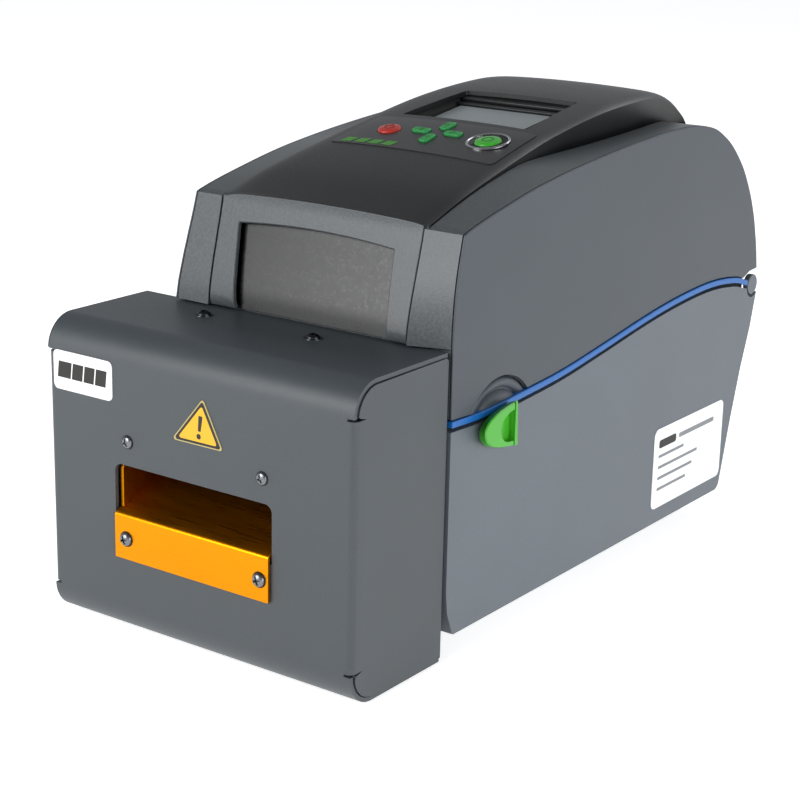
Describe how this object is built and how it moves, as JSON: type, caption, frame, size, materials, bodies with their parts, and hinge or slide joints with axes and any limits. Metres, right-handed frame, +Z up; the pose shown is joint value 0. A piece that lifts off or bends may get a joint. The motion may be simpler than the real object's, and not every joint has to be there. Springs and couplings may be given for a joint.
{
  "type": "label maker",
  "caption": "Compact desktop label maker with a hinged cover, viewing window, key panel with display, and a folded-sheet cutter module with a gold label chute.",
  "frame": {"origin": "under the middle of the whole object, on the surface it stands on", "axes": "+Z up, +Y towards the rear of the printer, +X to the right seen from the front"},
  "size_m": [0.1414, 0.283, 0.1791],
  "materials": {
    "housing_plastic": "fine moulded texture, satin",
    "panel_plastic": "smooth satin",
    "blue_strip": "satin moulded",
    "green_plastic": "semi-gloss moulded",
    "red_plastic": "semi-gloss moulded",
    "painted_steel": "fine-texture powder coat",
    "gold_aluminium": "gold anodised",
    "steel": "bright zinc plated",
    "black_screw": "black zinc",
    "rubber": "matt",
    "white_label": "satin film",
    "yellow_label": "satin film",
    "gear_plastic": "natural acetal",
    "smoked_window": "polished smoked",
    "screen_glass": "clear glossy window over a grey display",
    "board_green": "solder mask",
    "motor_black": "black enamel"
  },
  "bodies": {
    "base": {"lower_case": "housing_plastic", "seam_strip_right": "blue_strip", "seam_strip_left": "blue_strip", "foot_front_left": "rubber", "foot_front_right": "rubber", "foot_rear_left": "rubber", "foot_rear_right": "rubber", "hinge_rod": "steel", "chassis_frame": "steel", "media_tray": "panel_plastic", "main_board": "board_green", "drive_motor": "motor_black", "power_inlet": "panel_plastic", "usb_port": "steel", "platen_bush_left": "gear_plastic", "platen_bush_right": "gear_plastic", "badge_label": "white_label", "hazard_label": "yellow_label", "service_label": "white_label", "cutter_cover": "painted_steel", "cutter_bracket": "steel", "cutter_chute": "gold_aluminium", "fixed_blade": "steel", "cutter_motor": "motor_black", "front_screw_left": "black_screw", "front_screw_right": "black_screw", "chute_screw_left": "black_screw", "chute_screw_right": "black_screw", "top_screw_left": "black_screw", "top_screw_right": "black_screw"},
    "platen": {"platen_roller": "rubber", "platen_shaft": "steel", "platen_gear": "gear_plastic"},
    "idler": {"idler_gear": "gear_plastic"},
    "pinion": {"motor_pinion": "gear_plastic"},
    "rotor": {"rotary_blade": "steel", "blade_gear": "gear_plastic"},
    "cutter_drive": {"cutter_pinion": "gear_plastic"},
    "cover": {"cover_shell": "housing_plastic", "front_frame": "housing_plastic", "window_pane": "smoked_window", "top_panel": "panel_plastic", "display_bezel": "panel_plastic", "display_screen": "screen_glass", "feed_button_ring": "steel", "ribbon_frame": "steel"},
    "supply_spool": {"ribbon_supply_spool": "gear_plastic"},
    "takeup_spool": {"ribbon_takeup_spool": "gear_plastic"},
    "head": {"printhead": "steel"},
    "latch_right": {"latch_lever_right": "green_plastic"},
    "latch_left": {"latch_lever_left": "green_plastic"},
    "holder_right": {"roll_holder_right": "green_plastic"},
    "holder_left": {"roll_holder_left": "green_plastic"},
    "power_button_body": {"power_button": "red_plastic"},
    "feed_button_body": {"feed_button": "green_plastic"},
    "up_key_body": {"up_key": "green_plastic"},
    "down_key_body": {"down_key": "green_plastic"},
    "left_key_body": {"left_key": "green_plastic"},
    "right_key_body": {"right_key": "green_plastic"}
  },
  "joints": [
    {"name": "cover_hinge", "type": "hinge", "parent": "base", "child": "cover", "pos_m": [0.00505, 0.13685, 0.0945], "axis": [-1, 0, 0], "range_deg": [0, 75]},
    {"name": "platen_spin", "type": "hinge", "parent": "base", "child": "platen", "pos_m": [-0.00395, -0.06615, 0.054], "axis": [1, 0, 0], "continuous": true},
    {"name": "idler_spin", "type": "hinge", "parent": "base", "child": "idler", "pos_m": [-0.00395, -0.04405, 0.0368], "axis": [1, 0, 0], "continuous": true},
    {"name": "pinion_spin", "type": "hinge", "parent": "base", "child": "pinion", "pos_m": [-0.00395, -0.02015, 0.0347], "axis": [1, 0, 0], "continuous": true},
    {"name": "rotor_spin", "type": "hinge", "parent": "base", "child": "rotor", "pos_m": [-0.00395, -0.10515, 0.0675], "axis": [1, 0, 0], "continuous": true},
    {"name": "cutter_drive_spin", "type": "hinge", "parent": "base", "child": "cutter_drive", "pos_m": [-0.00395, -0.10515, 0.0885], "axis": [1, 0, 0], "continuous": true},
    {"name": "supply_spin", "type": "hinge", "parent": "cover", "child": "supply_spool", "pos_m": [-0.00395, 0.00885, 0.12], "axis": [1, 0, 0], "continuous": true},
    {"name": "takeup_spin", "type": "hinge", "parent": "cover", "child": "takeup_spool", "pos_m": [-0.00395, -0.03815, 0.118], "axis": [1, 0, 0], "continuous": true},
    {"name": "head_lift", "type": "hinge", "parent": "cover", "child": "head", "pos_m": [-0.00395, -0.02615, 0.082], "axis": [-1, 0, 0], "range_deg": [0, 6], "stiffness_Nm_per_rad": 0.5},
    {"name": "latch_right_turn", "type": "hinge", "parent": "base", "child": "latch_right", "pos_m": [0.06505, -0.05915, 0.079], "axis": [1, 0, 0], "range_deg": [0, 25], "stiffness_Nm_per_rad": 0.08},
    {"name": "latch_left_turn", "type": "hinge", "parent": "base", "child": "latch_left", "pos_m": [-0.05495, -0.05915, 0.079], "axis": [1, 0, 0], "range_deg": [0, 25], "stiffness_Nm_per_rad": 0.08},
    {"name": "holder_left_slide", "type": "slide", "parent": "base", "child": "holder_left", "axis": [1, 0, 0], "range_m": [0, 0.018]},
    {"name": "holder_right_slide", "type": "slide", "parent": "base", "child": "holder_right", "axis": [-1, 0, 0], "range_m": [0, 0.018]},
    {"name": "power_button_press", "type": "slide", "parent": "cover", "child": "power_button_body", "axis": [0, 0.207, -0.9783], "range_m": [0, 0.0008], "stiffness_N_per_m": 300},
    {"name": "feed_button_press", "type": "slide", "parent": "cover", "child": "feed_button_body", "axis": [0, 0.2064, -0.9785], "range_m": [0, 0.0008], "stiffness_N_per_m": 300},
    {"name": "up_key_press", "type": "slide", "parent": "cover", "child": "up_key_body", "axis": [0, 0.1876, -0.9822], "range_m": [0, 0.0008], "stiffness_N_per_m": 300},
    {"name": "down_key_press", "type": "slide", "parent": "cover", "child": "down_key_body", "axis": [0, 0.2086, -0.978], "range_m": [0, 0.0008], "stiffness_N_per_m": 300},
    {"name": "left_key_press", "type": "slide", "parent": "cover", "child": "left_key_body", "axis": [0, 0.2048, -0.9788], "range_m": [0, 0.0008], "stiffness_N_per_m": 300},
    {"name": "right_key_press", "type": "slide", "parent": "cover", "child": "right_key_body", "axis": [0, 0.204, -0.979], "range_m": [0, 0.0008], "stiffness_N_per_m": 300}
  ],
  "couplings": [
    {"joint": "idler_spin", "follows": "platen_spin", "ratio": -0.55556},
    {"joint": "pinion_spin", "follows": "platen_spin", "ratio": 1.6667},
    {"joint": "cutter_drive_spin", "follows": "rotor_spin", "ratio": -2.5},
    {"joint": "holder_right_slide", "follows": "holder_left_slide", "ratio": 1}
  ]
}
